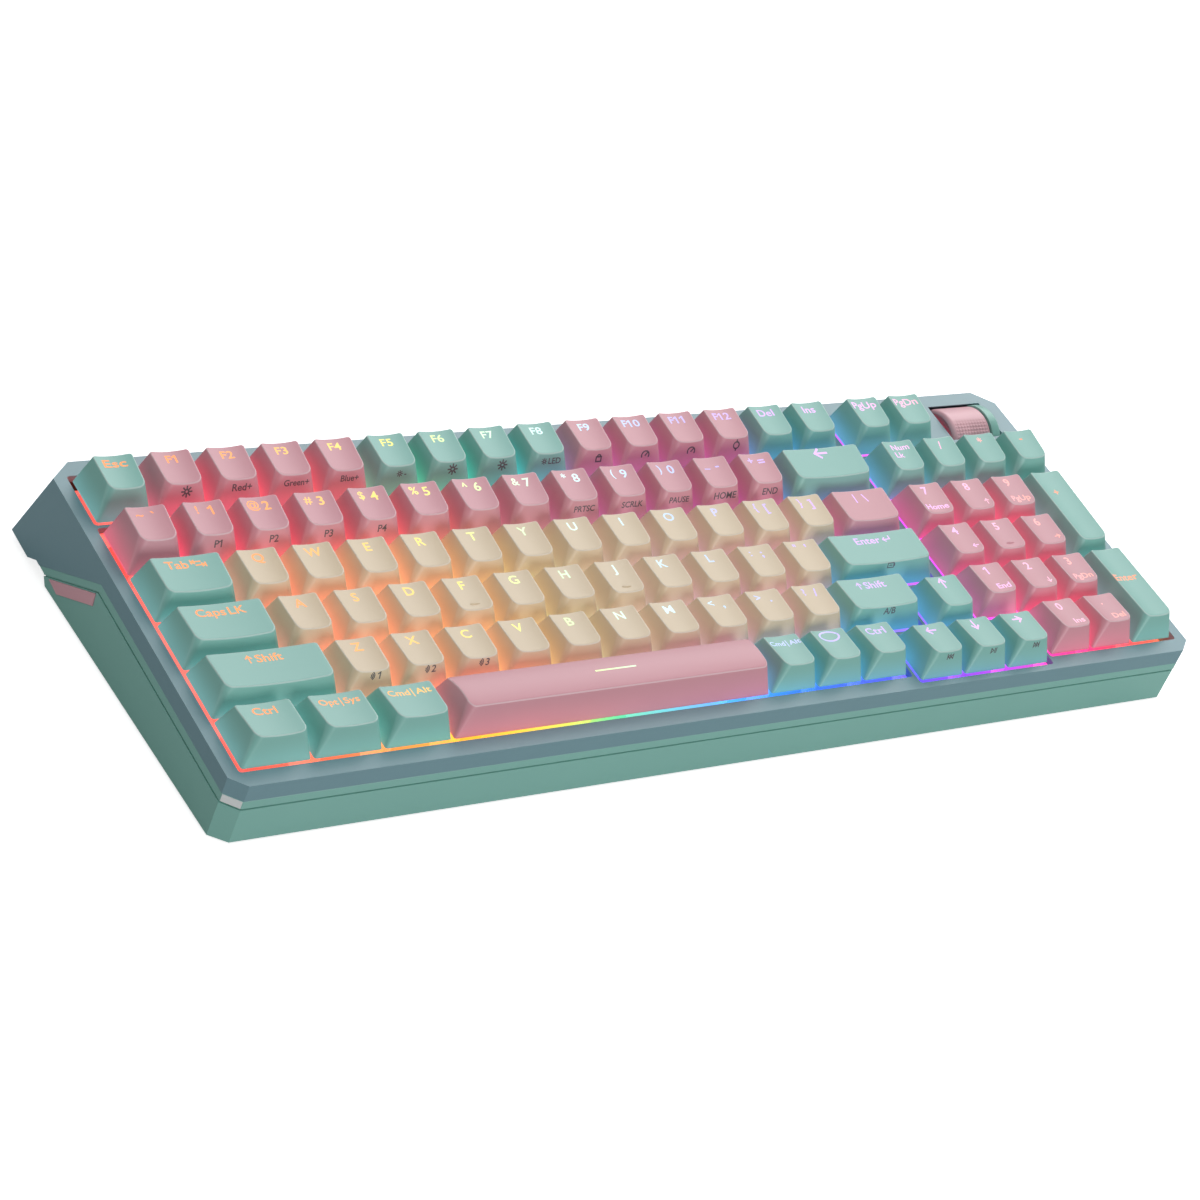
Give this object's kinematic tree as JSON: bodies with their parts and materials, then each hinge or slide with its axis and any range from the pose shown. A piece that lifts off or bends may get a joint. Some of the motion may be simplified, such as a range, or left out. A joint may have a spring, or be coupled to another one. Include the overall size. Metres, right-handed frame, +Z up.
{
  "type": "mechanical keyboard",
  "caption": "Full-width desktop mechanical keyboard with sculpted two-tone keycaps on sprung switches, a roller dial and fold-out rear feet.",
  "frame": {"origin": "on the desk under the middle of the case", "axes": "+X to the typist's right, +Y away from the typist, +Z up"},
  "size_m": [0.3787, 0.141, 0.0425],
  "materials": {
    "cover_blue_grey": "fine satin grain",
    "case_teal": "fine satin grain",
    "accent_pink": "satin",
    "key_teal": "dry matte",
    "key_pink": "dry matte",
    "key_beige": "dry matte",
    "steel": "plain",
    "board_green": "solder mask",
    "black_plastic": "plain",
    "white_plastic": "diffuse",
    "rubber": "plain",
    "foam": "closed-cell",
    "battery_wrap": "shrink wrap"
  },
  "bodies": {
    "case": {"top_cover": "cover_blue_grey", "middle_frame": "case_teal", "bottom_case": "case_teal", "dial_hood": "case_teal", "side_badge": "accent_pink", "switch_plate": "steel", "case_screws": "steel", "stabiliser_wires": "steel", "switch_springs": "steel", "usb_socket": "steel", "circuit_board": "board_green", "socket_board": "board_green", "switch_housings": "black_plastic", "stabiliser_housings": "black_plastic", "mode_switch_housing": "black_plastic", "light_chips": "white_plastic", "plate_gaskets": "rubber", "rubber_feet": "rubber", "case_foam": "foam", "battery": "battery_wrap"},
    "key_escape": {"key_escape": "key_teal"},
    "keys_f1_f4": {"keys_f1_f4": "key_pink"},
    "keys_f5_f8": {"keys_f5_f8": "key_teal"},
    "keys_f9_f12": {"keys_f9_f12": "key_pink"},
    "keys_editing": {"keys_editing": "key_teal"},
    "keys_numbers": {"keys_numbers": "key_pink"},
    "key_backspace": {"key_backspace": "key_teal"},
    "key_tab": {"key_tab": "key_teal"},
    "keys_upper_letters": {"keys_upper_letters": "key_beige"},
    "key_backslash": {"key_backslash": "key_pink"},
    "key_caps_lock": {"key_caps_lock": "key_teal"},
    "keys_home_letters": {"keys_home_letters": "key_beige"},
    "key_enter": {"key_enter": "key_teal"},
    "key_left_shift": {"key_left_shift": "key_teal"},
    "keys_lower_letters": {"keys_lower_letters": "key_beige"},
    "key_right_shift": {"key_right_shift": "key_teal"},
    "key_left_control": {"key_left_control": "key_teal"},
    "key_system": {"key_system": "key_teal"},
    "key_left_alt": {"key_left_alt": "key_teal"},
    "key_space": {"key_space": "key_pink"},
    "key_right_alt": {"key_right_alt": "key_teal"},
    "key_function": {"key_function": "key_teal"},
    "key_right_control": {"key_right_control": "key_teal"},
    "key_arrow_left": {"key_arrow_left": "key_teal"},
    "key_arrow_down": {"key_arrow_down": "key_teal"},
    "key_arrow_right": {"key_arrow_right": "key_teal"},
    "key_arrow_up": {"key_arrow_up": "key_teal"},
    "keys_keypad_operators": {"keys_keypad_operators": "key_teal"},
    "keys_keypad_789": {"keys_keypad_789": "key_pink"},
    "keys_keypad_456": {"keys_keypad_456": "key_pink"},
    "keys_keypad_123_0": {"keys_keypad_123_0": "key_pink"},
    "key_keypad_plus": {"key_keypad_plus": "key_teal"},
    "key_keypad_enter": {"key_keypad_enter": "key_teal"},
    "dial_cradle": {"dial_carriage": "black_plastic", "dial_encoder": "black_plastic"},
    "dial_roller": {"dial_drum": "accent_pink", "dial_shaft": "steel"},
    "mode_knob": {"mode_switch_knob": "black_plastic"},
    "foot_left": {"flip_foot_left": "case_teal"},
    "foot_right": {"flip_foot_right": "case_teal"}
  },
  "joints": [
    {"name": "press_escape", "type": "slide", "parent": "case", "child": "key_escape", "axis": [0, 0.0802, -0.9968], "range_m": [0, 0.004], "stiffness_N_per_m": 60, "springref_m": -0.006},
    {"name": "press_f1_f4", "type": "slide", "parent": "case", "child": "keys_f1_f4", "axis": [0, 0.0802, -0.9968], "range_m": [0, 0.004], "stiffness_N_per_m": 240, "springref_m": -0.006},
    {"name": "press_f5_f8", "type": "slide", "parent": "case", "child": "keys_f5_f8", "axis": [0, 0.0802, -0.9968], "range_m": [0, 0.004], "stiffness_N_per_m": 240, "springref_m": -0.006},
    {"name": "press_f9_f12", "type": "slide", "parent": "case", "child": "keys_f9_f12", "axis": [0, 0.0802, -0.9968], "range_m": [0, 0.004], "stiffness_N_per_m": 240, "springref_m": -0.006},
    {"name": "press_editing", "type": "slide", "parent": "case", "child": "keys_editing", "axis": [0, 0.0802, -0.9968], "range_m": [0, 0.004], "stiffness_N_per_m": 240, "springref_m": -0.006},
    {"name": "press_numbers", "type": "slide", "parent": "case", "child": "keys_numbers", "axis": [0, 0.0802, -0.9968], "range_m": [0, 0.004], "stiffness_N_per_m": 780, "springref_m": -0.006},
    {"name": "press_backspace", "type": "slide", "parent": "case", "child": "key_backspace", "axis": [0, 0.0802, -0.9968], "range_m": [0, 0.004], "stiffness_N_per_m": 60, "springref_m": -0.006},
    {"name": "press_tab", "type": "slide", "parent": "case", "child": "key_tab", "axis": [0, 0.0802, -0.9968], "range_m": [0, 0.004], "stiffness_N_per_m": 60, "springref_m": -0.006},
    {"name": "press_upper_letters", "type": "slide", "parent": "case", "child": "keys_upper_letters", "axis": [0, 0.0802, -0.9968], "range_m": [0, 0.004], "stiffness_N_per_m": 720, "springref_m": -0.006},
    {"name": "press_backslash", "type": "slide", "parent": "case", "child": "key_backslash", "axis": [0, 0.0802, -0.9968], "range_m": [0, 0.004], "stiffness_N_per_m": 60, "springref_m": -0.006},
    {"name": "press_caps_lock", "type": "slide", "parent": "case", "child": "key_caps_lock", "axis": [0, 0.0802, -0.9968], "range_m": [0, 0.004], "stiffness_N_per_m": 60, "springref_m": -0.006},
    {"name": "press_home_letters", "type": "slide", "parent": "case", "child": "keys_home_letters", "axis": [0, 0.0802, -0.9968], "range_m": [0, 0.004], "stiffness_N_per_m": 660, "springref_m": -0.006},
    {"name": "press_enter", "type": "slide", "parent": "case", "child": "key_enter", "axis": [0, 0.0802, -0.9968], "range_m": [0, 0.004], "stiffness_N_per_m": 60, "springref_m": -0.006},
    {"name": "press_left_shift", "type": "slide", "parent": "case", "child": "key_left_shift", "axis": [0, 0.0802, -0.9968], "range_m": [0, 0.004], "stiffness_N_per_m": 60, "springref_m": -0.006},
    {"name": "press_lower_letters", "type": "slide", "parent": "case", "child": "keys_lower_letters", "axis": [0, 0.0802, -0.9968], "range_m": [0, 0.004], "stiffness_N_per_m": 600, "springref_m": -0.006},
    {"name": "press_right_shift", "type": "slide", "parent": "case", "child": "key_right_shift", "axis": [0, 0.0802, -0.9968], "range_m": [0, 0.004], "stiffness_N_per_m": 60, "springref_m": -0.006},
    {"name": "press_left_control", "type": "slide", "parent": "case", "child": "key_left_control", "axis": [0, 0.0802, -0.9968], "range_m": [0, 0.004], "stiffness_N_per_m": 60, "springref_m": -0.006},
    {"name": "press_system", "type": "slide", "parent": "case", "child": "key_system", "axis": [0, 0.0802, -0.9968], "range_m": [0, 0.004], "stiffness_N_per_m": 60, "springref_m": -0.006},
    {"name": "press_left_alt", "type": "slide", "parent": "case", "child": "key_left_alt", "axis": [0, 0.0802, -0.9968], "range_m": [0, 0.004], "stiffness_N_per_m": 60, "springref_m": -0.006},
    {"name": "press_space", "type": "slide", "parent": "case", "child": "key_space", "axis": [0, 0.0802, -0.9968], "range_m": [0, 0.004], "stiffness_N_per_m": 60, "springref_m": -0.006},
    {"name": "press_right_alt", "type": "slide", "parent": "case", "child": "key_right_alt", "axis": [0, 0.0802, -0.9968], "range_m": [0, 0.004], "stiffness_N_per_m": 60, "springref_m": -0.006},
    {"name": "press_function", "type": "slide", "parent": "case", "child": "key_function", "axis": [0, 0.0802, -0.9968], "range_m": [0, 0.004], "stiffness_N_per_m": 60, "springref_m": -0.006},
    {"name": "press_right_control", "type": "slide", "parent": "case", "child": "key_right_control", "axis": [0, 0.0802, -0.9968], "range_m": [0, 0.004], "stiffness_N_per_m": 60, "springref_m": -0.006},
    {"name": "press_arrow_left", "type": "slide", "parent": "case", "child": "key_arrow_left", "axis": [0, 0.0802, -0.9968], "range_m": [0, 0.004], "stiffness_N_per_m": 60, "springref_m": -0.006},
    {"name": "press_arrow_down", "type": "slide", "parent": "case", "child": "key_arrow_down", "axis": [0, 0.0802, -0.9968], "range_m": [0, 0.004], "stiffness_N_per_m": 60, "springref_m": -0.006},
    {"name": "press_arrow_right", "type": "slide", "parent": "case", "child": "key_arrow_right", "axis": [0, 0.0802, -0.9968], "range_m": [0, 0.004], "stiffness_N_per_m": 60, "springref_m": -0.006},
    {"name": "press_arrow_up", "type": "slide", "parent": "case", "child": "key_arrow_up", "axis": [0, 0.0802, -0.9968], "range_m": [0, 0.004], "stiffness_N_per_m": 60, "springref_m": -0.006},
    {"name": "press_keypad_operators", "type": "slide", "parent": "case", "child": "keys_keypad_operators", "axis": [0, 0.0802, -0.9968], "range_m": [0, 0.004], "stiffness_N_per_m": 240, "springref_m": -0.006},
    {"name": "press_keypad_789", "type": "slide", "parent": "case", "child": "keys_keypad_789", "axis": [0, 0.0802, -0.9968], "range_m": [0, 0.004], "stiffness_N_per_m": 180, "springref_m": -0.006},
    {"name": "press_keypad_456", "type": "slide", "parent": "case", "child": "keys_keypad_456", "axis": [0, 0.0802, -0.9968], "range_m": [0, 0.004], "stiffness_N_per_m": 180, "springref_m": -0.006},
    {"name": "press_keypad_123_0", "type": "slide", "parent": "case", "child": "keys_keypad_123_0", "axis": [0, 0.0802, -0.9968], "range_m": [0, 0.004], "stiffness_N_per_m": 300, "springref_m": -0.006},
    {"name": "press_keypad_plus", "type": "slide", "parent": "case", "child": "key_keypad_plus", "axis": [0, 0.0802, -0.9968], "range_m": [0, 0.004], "stiffness_N_per_m": 60, "springref_m": -0.006},
    {"name": "press_keypad_enter", "type": "slide", "parent": "case", "child": "key_keypad_enter", "axis": [0, 0.0802, -0.9968], "range_m": [0, 0.004], "stiffness_N_per_m": 60, "springref_m": -0.006},
    {"name": "dial_press", "type": "slide", "parent": "case", "child": "dial_cradle", "axis": [0, 0.0802, -0.9968], "range_m": [0, 0.0008], "stiffness_N_per_m": 900, "springref_m": -0.0015},
    {"name": "dial_roll", "type": "hinge", "parent": "dial_cradle", "child": "dial_roller", "pos_m": [0.16731, 0.04471, 0.02324], "axis": [1, 0, 0], "continuous": true},
    {"name": "mode_slide", "type": "slide", "parent": "case", "child": "mode_knob", "axis": [1, 0, 0], "range_m": [0, 0.004]},
    {"name": "foot_fold_left", "type": "hinge", "parent": "case", "child": "foot_left", "pos_m": [-0.125, 0.02752, 0.00309], "axis": [1, 0, 0], "range_deg": [0, 70]},
    {"name": "foot_fold_right", "type": "hinge", "parent": "case", "child": "foot_right", "pos_m": [0.125, 0.02752, 0.00309], "axis": [1, 0, 0], "range_deg": [0, 70]}
  ]
}
